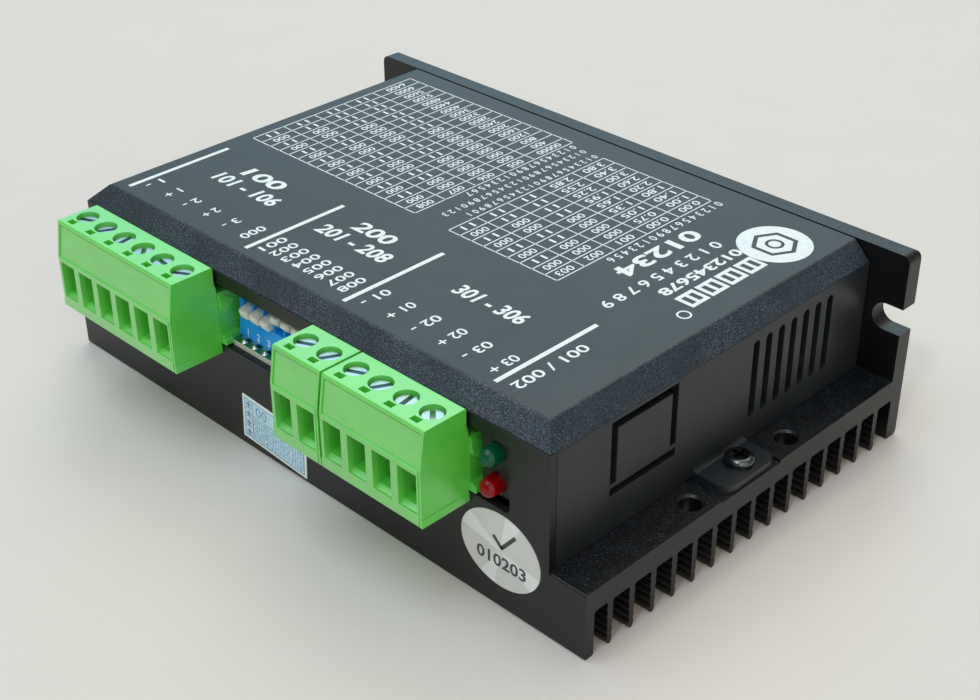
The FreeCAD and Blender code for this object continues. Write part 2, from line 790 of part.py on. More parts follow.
def make_plug_front(name):
    """Front panel between the side walls: a leaning upper part over a proud lower frame."""
    middle = from_left(TERMINALS[name][1])
    half = terminal_half(name) - 0.15 - SIDE_WALL - 0.04
    foot = PLUG_FRONT + LIP_STEP
    back = foot + FRONT_PANEL - 0.02
    top = PLUG_TOP - 0.6 - PANEL_GAP
    upper_front = foot + lean_at(top)
    upper_outline = [
        (foot, LIP_Z - 0.5), (back, LIP_Z - 0.5), (back, LEAN_Z),
        (upper_front + PANEL_UPPER_EDGE - 0.02, top), (upper_front, top), (foot, LEAN_Z),
    ]
    upper = prism_x(upper_outline, middle - half, middle + half)
    lower = bar(middle, half, PLUG_FRONT, back, PLUG_BOTTOM, LIP_Z)
    lip = edges_along(lower, vec(1, 0, 0), lambda p: p.y < PLUG_FRONT + 0.1)
    lower = lower.makeFillet(0.2, lip)
    return join([upper, lower]).cut([entry_cut(x) for x in pole_positions(name)])


def plug_contact(x):
    """Contact strip above the wire, ending in a fork that grips the header's pin."""
    strip_rear = FRONT - 0.6
    strip = bar(x, 1.25, CLAMP_Y[0] - 0.3, strip_rear, 22.4, 22.9)
    riser = bar(x, 1.25, strip_rear - 0.4, strip_rear, 21.2, 23.2)
    gap = PIN_HALF + 0.08
    leaves = [
        bar(x, 1.0, strip_rear, FRONT + 7.2, PIN_Z + gap, PIN_Z + gap + 0.42),
        bar(x, 1.0, strip_rear, FRONT + 7.2, PIN_Z - gap - 0.42, PIN_Z - gap),
    ]
    return join([strip, riser] + leaves)


def make_plug_contacts(name):
    return group([plug_contact(x) for x in pole_positions(name)])


def make_terminal_screw(x, turn):
    """Slotted screw that stays at its height and draws the wire clamp up."""
    head = post(x, SCREW_Y, WELL_FLOOR + 0.02, HEAD_TOP, HEAD_R)
    shank = post(x, SCREW_Y, SHANK_END, WELL_FLOOR + 0.05, SCREW_M25)
    slot = box(
        x - HEAD_R - 1, x + HEAD_R + 1, SCREW_Y - HEAD_SLOT / 2, SCREW_Y + HEAD_SLOT / 2,
        HEAD_TOP - 0.7, HEAD_TOP + 1,
    )
    slot.rotate(vec(x, SCREW_Y, 0), vec(0, 0, 1), turn)
    rim = [e for e in head.Edges if len(e.Vertexes) == 1 and e.Vertexes[0].Z > HEAD_TOP - 0.01]
    head = head.makeChamfer(0.2, rim)
    return join([head, shank]).cut(slot)


def make_wire_clamp(x):
    """Box clamp: the screw passes through its top plate, the wire lies on its floor."""
    z0, z1 = CLAMP_Z
    clamp = bar(x, CLAMP_HALF, CLAMP_Y[0], CLAMP_Y[1], z0, z1)
    corners = edges_along(clamp, vec(0, 1, 0), lambda p: True)
    clamp = clamp.makeFillet(0.4, corners)
    window = bar(x, CLAMP_WINDOW, CLAMP_Y[0] - 1, CLAMP_Y[1] + 1, z0 + CLAMP_FLOOR, z1 - CLAMP_PLATE)
    thread = post(x, SCREW_Y, z1 - CLAMP_PLATE - 1, z1 + 1, SCREW_M25 + 0.05)
    return clamp.cut([window, thread])


# --- rocker switch row -------------------------------------------------------------------------------
def make_dip_body():
    """Housing whose front leans back, with an open slot for each key."""
    middle = from_left(SWITCH_CENTRE)
    z0, z1 = SWITCH_Z
    outline = [
        (SWITCH_FRONT, z0), (SWITCH_REAR, z0), (SWITCH_REAR, z1), (SWITCH_FRONT + SWITCH_LEAN, z1)
    ]
    body = prism_x(outline, middle - SWITCH_LENGTH / 2, middle + SWITCH_LENGTH / 2)
    cuts = [
        bar(
            x, KEY_WIDTH / 2 + 0.1, SWITCH_FRONT - 1, KEY_PIVOT_Y + KEY_HUB_R + 0.15,
            KEY_PIVOT_Z - 1.95, KEY_PIVOT_Z + 1.95,
        )
        for x in switch_positions()
    ]
    return body.cut(cuts)


def make_dip_lever(number):
    """Rocking key, drawn level and then tilted to where it rests."""
    x = switch_positions()[number - 1]
    pivot = vec(x, KEY_PIVOT_Y, KEY_PIVOT_Z)
    half = KEY_THICK / 2
    tip = KEY_PIVOT_Y - KEY_REACH
    blade = bar(x, KEY_WIDTH / 2, tip, KEY_PIVOT_Y, KEY_PIVOT_Z - half, KEY_PIVOT_Z + half)
    tip_face = min(blade.Faces, key=lambda face: face.CenterOfMass.y)
    blade = blade.makeFillet(0.55, tip_face.Edges)
    hub = Part.makeCylinder(
        KEY_HUB_R, KEY_WIDTH, vec(x - KEY_WIDTH / 2, KEY_PIVOT_Y, KEY_PIVOT_Z), vec(1, 0, 0)
    )
    key = join([blade, hub])
    key.rotate(pivot, vec(1, 0, 0), KEY_TILT if number in KEYS_DOWN else -KEY_TILT)
    return key


# --- indicator lamps ---------------------------------------------------------------------------------
def make_lamp(colour):
    x = from_left(LAMP_X)
    z = LAMP_Z[colour]
    dome = Part.makeSphere(LAMP_R, vec(x, LAMP_DOME_Y, z))
    barrel = rod_y(x, z, LAMP_DOME_Y, HOLDER_FRONT, LAMP_R)
    rim = rod_y(x, z, HOLDER_FRONT - 0.45, HOLDER_FRONT, LAMP_RIM_R)
    front_half = bar(x, 3, FRONT - 3, HOLDER_FRONT, z - 3, z + 3)
    return join([dome, barrel, rim]).common(front_half)


def make_lamp_holder():
    """Block that holds both lamps, hollow behind for their leads."""
    x = from_left(LAMP_X)
    block = bar(x, HOLDER_HALF, HOLDER_FRONT, HOLDER_REAR, BOARD_TOP, HOLDER_TOP)
    cuts = [
        bar(
            x, HOLDER_HALF - HOLDER_WALL, HOLDER_FRONT + HOLDER_WALL, HOLDER_REAR + 1,
            BOARD_TOP - 1, HOLDER_TOP - HOLDER_WALL,
        )
    ]
    for z in LAMP_Z.values():
        for dx in LAMP_PIN_X:
            cuts.append(rod_y(x + dx, z, HOLDER_FRONT - 1, HOLDER_FRONT + 2, 0.4))
    return block.cut(cuts)


# --- parts on the board --------------------------------------------------------------------------------
def make_bulk_capacitors():
    cans = []
    for x in (-38.0, -24.0, -10.0):
        can = post(x, FRONT + 22.0, BOARD_TOP + 0.1, BOARD_TOP + 12.6, 6.25)
        rims = [e for e in can.Edges if len(e.Vertexes) == 1]
        cans.append(can.makeFillet(0.6, rims))
    return group(cans)


def power_switches():
    """Packages under the board, pressed on the pad above the base."""
    packs = []
    for row in range(2):
        for column in range(4):
            x = -30.0 + 20.0 * column
            y = FRONT + 46.0 + 13.0 * row
            packs.append(bar(x, 3.25, y, y + 6.1, BOARD_BOTTOM - 2.3, BOARD_BOTTOM))
    return packs


def make_thermal_pad():
    return box(-36, 36, FRONT + 43, FRONT + 68, BASE_TOP, BOARD_BOTTOM - 2.3)


def flat_pack(x, y, half_x, half_y, height):
    pack = box(x - half_x, x + half_x, y - half_y, y + half_y, BOARD_TOP, BOARD_TOP + height)
    upright = edges_along(pack, vec(0, 0, 1), lambda p: True)
    return pack.makeChamfer(0.3, upright)


def make_board_chips():
    """Controller, two bridge drivers, four optocouplers, two regulators, eight power switches."""
    chips = [flat_pack(12.0, FRONT + 34.0, 5.0, 5.0, 1.5)]
    for x in (-12.0, 30.0):
        chips.append(flat_pack(x, FRONT + 50.0, 5.2, 3.8, 2.3))
    for index in range(4):
        chips.append(flat_pack(14.0 + 9.0 * index, FRONT + 20.0, 3.2, 2.3, 2.6))
    for x in (-36.0, -24.0):
        chips.append(flat_pack(x, FRONT + 36.0, 3.3, 3.1, 2.3))
    return group(chips + power_switches())


# --- all sub-parts ------------------------------------------------------------------------------
def all_nodes():
    nodes = {
        "heatsink": make_heatsink(),
        "cover": make_cover(),
        "cover_screws": make_cover_screws(),
        "oval_label": make_oval_label(),
        "grid_label": make_grid_label(),
        "main_board": make_main_board(),
        "board_standoffs": make_board_standoffs(),
        "board_screws": make_board_screws(),
        "board_pins": make_board_pins(),
        "dip_body": make_dip_body(),
        "led_green": make_lamp("green"),
        "led_red": make_lamp("red"),
        "bulk_capacitors": make_bulk_capacitors(),
        "lamp_holder": make_lamp_holder(),
        "thermal_pad": make_thermal_pad(),
        "board_chips": make_board_chips(),
    }
    for name in TERMINALS:
        nodes["header_" + name] = make_header(name)
        nodes["plug_" + name + "_housing"] = make_plug_housing(name)
        nodes["plug_" + name + "_front"] = make_plug_front(name)
        nodes["plug_" + name + "_contacts"] = make_plug_contacts(name)
        for index, x in enumerate(pole_positions(name)):
            label = "{}_{}".format(name, index + 1)
            nodes["screw_" + label] = make_terminal_screw(x, 25 + 37 * index)
            nodes["clamp_" + label] = make_wire_clamp(x)
    for number in range(1, SWITCH_COUNT + 1):
        nodes["dip_lever_{}".format(number)] = make_dip_lever(number)
    return nodes


os.makedirs("parts", exist_ok=True)
for node_name, node_shape in all_nodes().items():
    if not node_shape.isValid():
        raise ValueError(node_name + " is not a valid shape")
    node_shape.exportStep("parts/{}.step".format(node_name))
    print(node_name, len(node_shape.Solids), round(node_shape.Volume, 1))
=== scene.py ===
import bpy
import bmesh
import math
from mathutils import Matrix, Quaternion, Vector


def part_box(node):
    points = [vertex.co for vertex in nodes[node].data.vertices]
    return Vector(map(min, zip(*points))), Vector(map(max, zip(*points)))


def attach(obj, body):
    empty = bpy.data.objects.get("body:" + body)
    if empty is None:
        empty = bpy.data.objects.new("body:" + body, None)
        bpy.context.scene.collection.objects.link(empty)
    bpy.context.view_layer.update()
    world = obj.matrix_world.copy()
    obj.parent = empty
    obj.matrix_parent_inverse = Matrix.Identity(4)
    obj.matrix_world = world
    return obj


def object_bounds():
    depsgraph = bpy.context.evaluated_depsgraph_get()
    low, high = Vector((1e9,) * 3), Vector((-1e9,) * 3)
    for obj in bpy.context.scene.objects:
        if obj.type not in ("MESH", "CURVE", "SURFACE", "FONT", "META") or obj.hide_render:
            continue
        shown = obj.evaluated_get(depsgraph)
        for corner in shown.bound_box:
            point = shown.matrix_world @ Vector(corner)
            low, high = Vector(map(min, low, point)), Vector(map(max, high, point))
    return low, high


# The looks of the stepper driver module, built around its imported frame. Everything is in
# metres in the frame's own axes: X runs along the connectors, the front looks towards -Y and
# Z is up. MM turns the millimetre sizes below into metres.

MM = 0.001
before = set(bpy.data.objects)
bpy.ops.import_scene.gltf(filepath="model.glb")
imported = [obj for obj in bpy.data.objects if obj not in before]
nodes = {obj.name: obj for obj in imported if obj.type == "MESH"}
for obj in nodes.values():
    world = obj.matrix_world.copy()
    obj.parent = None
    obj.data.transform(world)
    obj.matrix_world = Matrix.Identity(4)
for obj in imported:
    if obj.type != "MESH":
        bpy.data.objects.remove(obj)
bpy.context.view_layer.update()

BODY_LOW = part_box("heatsink")[0]
COVER_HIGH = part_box("cover")[1]
INK_RISE = 0.02 * MM
INK_DEPTH = 0.02 * MM
MOTIF_RISE = 0.035 * MM
PANEL_RISE = 0.015 * MM
LABEL_INK_RISE = 0.03 * MM

# The switch row: its pitch in mm, how many keys it has, and how its front leans, as (back, up).
SWITCH_PITCH = 2.54
SWITCHES = 8
SWITCH_LEAN = (0.75, 9.1)

# Noise scales, in cycles per metre, that several materials share.
FINE_GRAIN = 5200
SOFT_GRAIN = 4200


# --- places ---------------------------------------------------------------------
def on_top(x, y):
    """A point of the cover's top, x mm from the body's left end and y mm from its front."""
    return Vector((BODY_LOW.x + x * MM, BODY_LOW.y + y * MM, COVER_HIGH.z))


def middle(node):
    low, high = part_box(node)
    return (low + high) / 2


# --- material building blocks ------------------------------------------------------
class Look:
    """A material being built, with short ways to add its texture nodes.

    Textures use object coordinates, which are the frame's own metres on every piece.
    """

    def __init__(self, name, colour, roughness, metallic=0.0, **sockets):
        self.material = bpy.data.materials.new(name)
        self.material.use_nodes = True
        self.material.diffuse_color = (*colour, 1)
        self.tree = self.material.node_tree
        self.shader = self.tree.nodes["Principled BSDF"]
        self.shader.inputs["Base Color"].default_value = (*colour, 1)
        self.shader.inputs["Roughness"].default_value = roughness
        self.shader.inputs["Metallic"].default_value = metallic
        for socket, value in sockets.items():
            self.shader.inputs[socket.replace("_", " ")].default_value = value
        self.place = self.node("ShaderNodeTexCoord")
        self.height = None

    def node(self, kind, **settings):
        made = self.tree.nodes.new(kind)
        for key, value in settings.items():
            setattr(made, key, value)
        return made

    def link(self, source, target):
        self.tree.links.new(source, target)

    def feed(self, target, value):
        """Gives a socket either another node's output or a plain value."""
        if isinstance(value, bpy.types.NodeSocket):
            self.link(value, target)
        elif isinstance(value, (tuple, list)) and len(value) == 3 and target.type == "RGBA":
            target.default_value = (*value, 1)
        else:
            target.default_value = value

    def coordinates(self, stretch=(1, 1, 1), shift=(0, 0, 0)):
        mapping = self.node("ShaderNodeMapping")
        mapping.inputs["Scale"].default_value = stretch
        mapping.inputs["Location"].default_value = shift
        self.link(self.place.outputs["Object"], mapping.inputs["Vector"])
        return mapping.outputs["Vector"]

    def noise(self, scale, detail=2.0, roughness=0.5, stretch=(1, 1, 1)):
        texture = self.node("ShaderNodeTexNoise")
        texture.inputs["Scale"].default_value = scale
        texture.inputs["Detail"].default_value = detail
        texture.inputs["Roughness"].default_value = roughness
        self.link(self.coordinates(stretch), texture.inputs["Vector"])
        return texture.outputs["Fac"]

    def cells(self, scale, output="Color"):
        texture = self.node("ShaderNodeTexVoronoi")
        texture.inputs["Scale"].default_value = scale
        self.link(self.coordinates(), texture.inputs["Vector"])
        return texture.outputs[output]

    def waves(self, scale, distortion, stretch=(1, 1, 1)):
        texture = self.node("ShaderNodeTexWave")
        texture.inputs["Scale"].default_value = scale
        texture.inputs["Distortion"].default_value = distortion
        self.link(self.coordinates(stretch), texture.inputs["Vector"])
        return texture.outputs["Fac"]

    def spread(self, source, low, high, out_low=0.0, out_high=1.0):
        """Maps a value from low..high to out_low..out_high and holds it there beyond."""
        spread = self.node("ShaderNodeMapRange")
        spread.inputs["From Min"].default_value = low
        spread.inputs["From Max"].default_value = high
        spread.inputs["To Min"].default_value = out_low
        spread.inputs["To Max"].default_value = out_high
        self.link(source, spread.inputs["Value"])
        return spread.outputs["Result"]

    def combine(self, operation, a, b):
        both = self.node("ShaderNodeMath", operation=operation)
        self.feed(both.inputs[0], a)
        self.feed(both.inputs[1], b)
        return both.outputs[0]

    def blend(self, amount, first, second):
        mix = self.node("ShaderNodeMix", data_type="RGBA")
        self.feed(mix.inputs[0], amount)
        self.feed(mix.inputs[6], first)
        self.feed(mix.inputs[7], second)
        return mix.outputs[2]

    def facing(self, axis, low=0.5, high=0.8):
        """1 on faces that look along an axis, either way, and 0 on the others."""
        split = self.node("ShaderNodeSeparateXYZ")
        self.link(self.place.outputs["Normal"], split.inputs[0])
        size = self.combine("ABSOLUTE", split.outputs[axis], 0.0)
        return self.spread(size, low, high)

    def flecks(self, scale, rarest, commonest):
        """Scattered specks one cell wide, fewer of them as the two limits rise."""
        split = self.node("ShaderNodeSeparateXYZ")
        self.link(self.cells(scale), split.inputs[0])
        return self.spread(split.outputs["X"], commonest, rarest)

    def level(self, axis):
        """The object coordinate along an axis, in metres."""
        split = self.node("ShaderNodeSeparateXYZ")
        self.link(self.place.outputs["Object"], split.inputs[0])
        return split.outputs[axis]

    def colour(self, value):
        self.feed(self.shader.inputs["Base Color"], value)

    def rough(self, value):
        self.feed(self.shader.inputs["Roughness"], value)

    def bump(self, height, depth, strength=1.0):
        """Adds a bump of that depth in metres, on top of any earlier one."""
        bump = self.node("ShaderNodeBump")
        bump.inputs["Distance"].default_value = depth
        self.feed(bump.inputs["Strength"], strength)
        self.link(height, bump.inputs["Height"])
        if self.height is not None:
            self.link(self.height, bump.inputs["Normal"])
        self.height = bump.outputs["Normal"]
        self.link(self.height, self.shader.inputs["Normal"])


# --- materials ------------------------------------------------------------------------
def black_anodised():
    """Drawn aluminium under black anodising, with drawing lines along X and sawn ends.

    The ledges face up and were blasted; their sparkle is painted into the colour as pale bluish flecks,
    painted glints of light.
    """
    look = Look("black_anodised", (0.004, 0.0045, 0.005), 0.34, Specular_IOR_Level=0.42)
    lines = look.noise(90, 3, 0.6, stretch=(1, 60, 60))
    saw = look.noise(60, 3, 0.6, stretch=(60, 60, 2.5))
    sawn = look.facing("X")
    painted_glint_faces = look.facing("Z", 0.35, 0.6)
    grain = look.noise(FINE_GRAIN, 2)
    clouds = look.noise(55, 3)
    stroke = look.blend(sawn, lines, saw)
    # Pale bluish flecks on the up-facing ledges are painted glints, light caught by their blasted grain.
    painted_glint_fleck = look.combine("MULTIPLY", look.flecks(9500, 0.99, 0.9), painted_glint_faces)
    base = look.blend(look.spread(clouds, 0.3, 0.75), (0.0028, 0.0032, 0.004), (0.0052, 0.0058, 0.0066))
    # The painted glints: flecks take a pale bluish colour.
    look.colour(look.blend(painted_glint_fleck, base, (0.07, 0.10, 0.14)))
    rub = look.combine("ADD", stroke, look.combine("MULTIPLY", grain, 0.6))
    look.rough(look.spread(rub, 0.4, 1.2, 0.28, 0.44))
    look.bump(grain, 0.006 * MM, 0.5)
    look.bump(stroke, 0.012 * MM, look.spread(sawn, 0, 1, 0.45, 0.8))
    return look.material


def black_powder_coat():
    """Powder coat with a fine texture on the bevels, whose sparkle is painted into the colour as pale bluish
    flecks, painted glints of light; smoother on the printed top and the ends.
    """
    look = Look("black_powder_coat", (0.014, 0.016, 0.019), 0.42, Specular_IOR_Level=0.5)
    bevels = look.combine("MULTIPLY", look.facing("Z", 0.35, 0.6), look.facing("Z", 0.995, 0.93))
    tabs_end = COVER_HIGH.z - 5 * MM
    above_tabs = look.spread(look.level("Z"), tabs_end, tabs_end + 0.5 * MM)
    textured_glint_faces = look.combine("MULTIPLY", bevels, above_tabs)
    # Flecks on the textured bevels mark painted glints; they also lower the roughness there.
    painted_glint_fleck = look.combine("MULTIPLY", look.flecks(12500, 0.99, 0.74), textured_glint_faces)
    glint_tint_noise = look.noise(90, 2)
    peel = look.noise(1500, 3, 0.6)
    fine = look.noise(9000, 1)
    patches = look.noise(140, 2)
    base = look.blend(look.spread(patches, 0.35, 0.7), (0.010, 0.013, 0.018), (0.016, 0.020, 0.026))
    # Pale bluish colour of the painted glints, the light caught by the coat's grains.
    painted_glint_colour = look.blend(look.spread(glint_tint_noise, 0.35, 0.65), (0.085, 0.14, 0.21), (0.18, 0.26, 0.36))
    look.colour(look.blend(painted_glint_fleck, base, painted_glint_colour))
    look.rough(look.spread(look.combine("ADD", peel, painted_glint_fleck), 0.35, 1.4, 0.44, 0.3))
    look.bump(peel, 0.05 * MM, look.spread(textured_glint_faces, 0, 1, 0.02, 0.3))
    look.bump(fine, 0.012 * MM, look.spread(textured_glint_faces, 0, 1, 0.04, 0.8))
    return look.material


def terminal_green(name, colour=(0.10, 0.66, 0.055)):
    """Moulded polyamide: a pale gloss over a deep green, faint flow marks, fine spark texture."""
    look = Look(
        name, colour, 0.33, Subsurface_Weight=0.08, Subsurface_Scale=1.0 * MM, Specular_IOR_Level=1.0,
        Coat_Weight=0.9, Coat_Roughness=0.34, Coat_IOR=1.65, Sheen_Weight=0.15, Sheen_Roughness=0.4,
    )
    look.shader.inputs["Subsurface Radius"].default_value = (0.4, 1.0, 0.3)
    flow = look.noise(120, 3, 0.55, stretch=(1, 1, 2))
    spark = look.noise(FINE_GRAIN, 2)
    darker = tuple(0.93 * c for c in colour)
    lighter = tuple(min(1.0, 1.06 * c) for c in colour)
    look.colour(look.blend(look.spread(flow, 0.3, 0.72), darker, lighter))
    look.rough(look.spread(look.combine("ADD", flow, spark), 0.7, 1.35, 0.28, 0.42))
    look.bump(spark, 0.008 * MM, 0.4)
    look.bump(flow, 0.03 * MM, 0.15)
    return look.material


def plated_steel(name, colour, roughness=0.26):
    """Zinc plate over turned steel: fine tool marks, faint blue and yellow clouds."""
    look = Look(name, colour, roughness, metallic=1.0)
    clouds = look.noise(500, 2)
    tool = look.noise(FINE_GRAIN, 2, 0.6)
    warm = (colour[0] * 1.0, colour[1] * 0.98, colour[2] * 0.92)
    cool = (colour[0] * 0.84, colour[1] * 0.93, colour[2] * 1.0)
    look.colour(look.blend(look.spread(clouds, 0.35, 0.7), warm, cool))
    look.rough(look.spread(tool, 0.3, 0.7, roughness * 0.85, roughness * 1.25))
    look.bump(tool, 0.003 * MM, 0.4)
    return look.material


def black_steel():
    """Black zinc on the pan head screws: glossy, a little grey where it is worn."""
    look = Look("black_steel", (0.10, 0.11, 0.12), 0.2, metallic=1.0, Coat_Weight=0.5, Coat_Roughness=0.08)
    wear = look.noise(1700, 3, 0.65)
    look.colour(look.blend(look.spread(wear, 0.5, 0.8), (0.085, 0.10, 0.115), (0.22, 0.23, 0.24)))
    look.rough(look.spread(wear, 0.3, 0.8, 0.16, 0.3))
    look.bump(look.noise(3000, 2), 0.008 * MM, 0.4)
    return look.material


def board_laminate():
    """Green solder mask with faint tracks on the faces, pale glass fibre at the cut edge."""
    look = Look("board_laminate", (0.01, 0.16, 0.075), 0.3, Coat_Weight=0.35, Coat_Roughness=0.15)
    face = look.facing("Z")
    tracks = look.cells(420, "Distance")
    weave = look.waves(900, 1.5, stretch=(1, 0.2, 2.4))
    mask = look.blend(look.spread(tracks, 0.1, 0.16), (0.02, 0.27, 0.12), (0.008, 0.15, 0.07))
    edge = look.blend(weave, (0.62, 0.63, 0.52), (0.80, 0.80, 0.70))
    look.colour(look.blend(face, edge, mask))
    look.rough(look.spread(face, 0, 1, 0.75, 0.28))
    look.bump(tracks, 0.03 * MM, look.spread(face, 0, 1, 0.0, 0.4))
    look.bump(weave, 0.03 * MM, look.spread(face, 0, 1, 0.6, 0.0))
    return look.material


def switch_blue():
    """Blue moulded body with a soft haze."""
    look = Look("switch_blue", (0.005, 0.32, 1.0), 0.34, Subsurface_Weight=0.06, Subsurface_Scale=1.0 * MM)
    haze = look.noise(350, 3)
    look.colour(look.blend(look.spread(haze, 0.3, 0.75), (0.004, 0.30, 0.96), (0.007, 0.36, 1.0)))
    look.rough(look.spread(haze, 0.3, 0.8, 0.28, 0.44))
    look.bump(look.noise(SOFT_GRAIN, 2), 0.008 * MM, 0.4)
    return look.material


def key_white():
    """Off-white keys that let a little light through."""
    look = Look("key_white", (0.80, 0.79, 0.72), 0.4, Subsurface_Weight=0.25, Subsurface_Scale=0.8 * MM)
    haze = look.noise(500, 3)
    look.colour(look.blend(look.spread(haze, 0.3, 0.75), (0.74, 0.73, 0.66), (0.85, 0.84, 0.78)))
    look.rough(look.spread(haze, 0.3, 0.8, 0.32, 0.52))
    look.bump(look.noise(SOFT_GRAIN, 2), 0.008 * MM, 0.4)
    return look.material


def lamp(name, colour):
    """Tinted clear epoxy with a cloudy core."""
    look = Look(name, colour, 0.06, Transmission_Weight=0.2, IOR=1.5, Specular_IOR_Level=0.3)
    core = look.noise(900, 3)
    darker = tuple(0.75 * c for c in colour)
    look.colour(look.blend(look.spread(core, 0.3, 0.7), darker, colour))
    look.rough(look.spread(core, 0.3, 0.8, 0.04, 0.08))
    look.bump(look.noise(FINE_GRAIN, 2), 0.001 * MM, 0.3)
    return look.material


FOIL_RAYS = 4.0


def silver_foil():
    """Silver foil with a painted sheen that fans out from its middle in a few broad rays."""
    look = Look("silver_foil", (0.74, 0.74, 0.74), 0.38, metallic=0.15)
    centre = middle("oval_label")
    spin = look.node("ShaderNodeMath", operation="ARCTAN2")
    look.link(look.combine("SUBTRACT", look.level("X"), centre.x), spin.inputs[0])
    look.link(look.combine("SUBTRACT", look.level("Z"), centre.z), spin.inputs[1])
    wave = look.node("ShaderNodeMath", operation="SINE")
    look.link(look.combine("MULTIPLY", spin.outputs[0], FOIL_RAYS), wave.inputs[0])
    ray = look.spread(wave.outputs[0], 0.55, 0.7)
    fine = look.noise(2400, 2)
    clouds = look.spread(look.noise(130, 1), 0.35, 0.65)
    sheet = look.blend(clouds, (0.66, 0.66, 0.665), (0.73, 0.725, 0.72))
    # The brighter rays are a painted sheen: a lighter colour put into the foil's base colour.
    look.colour(look.blend(look.combine("MULTIPLY", ray, 0.8), sheet, (0.88, 0.90, 0.92)))
    look.rough(look.spread(fine, 0.3, 0.7, 0.28, 0.42))
    look.bump(fine, 0.004 * MM, 0.5)
    return look.material


def printed_paper():
    """The pale label's sheet, with fine fibres."""
    look = Look("printed_paper", (0.90, 0.95, 0.97), 0.5)
    fibre = look.noise(2600, 4, 0.7)
    look.colour(look.blend(look.spread(fibre, 0.3, 0.7), (0.87, 0.93, 0.96), (0.93, 0.97, 0.99)))
    look.rough(look.spread(fibre, 0.3, 0.7, 0.48, 0.62))
    look.bump(fibre, 0.006 * MM, 0.5)
    return look.material


def moulded_black(name, colour=(0.018, 0.018, 0.02), roughness=0.45):
    """Black plastic with a fine grain."""
    look = Look(name, colour, roughness)
    grain = look.noise(3800, 3, 0.6)
    lighter = tuple(1.6 * c for c in colour)
    look.colour(look.blend(look.spread(grain, 0.35, 0.7), colour, lighter))
    look.rough(look.spread(grain, 0.3, 0.75, roughness * 0.8, roughness * 1.25))
    look.bump(grain, 0.012 * MM, 0.5)
    return look.material


def capacitor_sleeve():
    """Dark shrink sleeve round the can, bare aluminium on its top."""
    sleeve = (0.02, 0.022, 0.045)
    look = Look("capacitor_sleeve", sleeve, 0.3)
    top = look.facing("Z", 0.85, 0.97)
    brushed = look.noise(1500, 2)
    bare = look.blend(brushed, (0.55, 0.55, 0.56), (0.7, 0.7, 0.7))
    look.colour(look.blend(top, sleeve, bare))
    look.feed(look.shader.inputs["Metallic"], top)
    look.rough(look.spread(brushed, 0.3, 0.7, 0.24, 0.4))
    look.bump(look.noise(500, 2), 0.02 * MM, 0.3)
    return look.material


def soft_pad():
    """Crumbly silicone of the thermal pad."""
    look = Look("soft_pad", (0.42, 0.48, 0.55), 0.7)
    crumb = look.noise(1800, 4, 0.7)
    look.colour(look.blend(look.spread(crumb, 0.3, 0.7), (0.36, 0.42, 0.48), (0.48, 0.54, 0.60)))
    look.rough(look.spread(crumb, 0.3, 0.7, 0.62, 0.8))
    look.bump(crumb, 0.03 * MM, 0.6)
    return look.material


def ink(name, colour):
    """Screen-printed ink: slightly uneven cover and a low sheen."""
    look = Look(name, colour, 0.5)
    cover = look.noise(2600, 3, 0.6)
    thin = tuple(0.86 * c for c in colour)
    look.colour(look.blend(look.spread(cover, 0.35, 0.6), thin, colour))
    look.rough(look.spread(cover, 0.3, 0.7, 0.42, 0.58))
    look.bump(cover, 0.006 * MM, 0.4)
    return look.material


def solder():
    """Bright solder with shallow ripples."""
    look = Look("solder", (0.72, 0.73, 0.74), 0.2, metallic=1.0)
    ripple = look.noise(1400, 3)
    look.colour(look.blend(look.spread(ripple, 0.3, 0.7), (0.62, 0.63, 0.65), (0.8, 0.8, 0.8)))
    look.rough(look.spread(ripple, 0.3, 0.7, 0.14, 0.32))
    look.bump(ripple, 0.02 * MM, 0.4)
    return look.material


# --- giving every CAD node its material ---------------------------------------------------
def dress(node, material):
    """Puts one material on a CAD node, whatever slots it came with."""
    mesh = nodes[node].data
    mesh.materials.clear()
    mesh.materials.append(material)


def dress_all():
    pins = plated_steel("tinned", (0.76, 0.76, 0.74), 0.22)
    steel = black_steel()
    chosen = {
        "heatsink": black_anodised(),
        "cover": black_powder_coat(),
        "cover_screws": steel,
        "board_screws": steel,
        "board_standoffs": plated_steel("plated_brass", (0.7, 0.66, 0.52)),
        "board_pins": pins,
        "board_chips": moulded_black("chip_black", (0.022, 0.022, 0.023), 0.5),
        "main_board": board_laminate(),
        "bulk_capacitors": capacitor_sleeve(),
        "thermal_pad": soft_pad(),
        "dip_body": switch_blue(),
        "lamp_holder": moulded_black("holder_black"),
        "led_green": lamp("lamp_green", (0.001, 0.11, 0.05)),
        "led_red": lamp("lamp_red", (0.34, 0.001, 0.002)),
        "oval_label": silver_foil(),
        "grid_label": printed_paper(),
    }
    beginnings = {
        "header_": terminal_green("header_green", (0.08, 0.58, 0.05)),
        "screw_": plated_steel("terminal_steel", (0.46, 0.56, 0.60), 0.3),
        "clamp_": plated_steel("clamp_steel", (0.62, 0.63, 0.62), 0.32),
        "dip_lever_": key_white(),
    }
    endings = {
        "_housing": terminal_green("terminal_green"),
        # The front panels get a paler, less saturated copy of the green plastic: a painted sheen of light on
        # faces that look forward.
        "_front": terminal_green("front_panel_painted_sheen", (0.14, 0.66, 0.10)),
        "_contacts": pins,
    }
    for name in nodes:
        if name in chosen:
            dress(name, chosen[name])
            continue
        for start, material in beginnings.items():
            if name.startswith(start):
                dress(name, material)
        for end, material in endings.items():
            if name.endswith(end):
                dress(name, material)


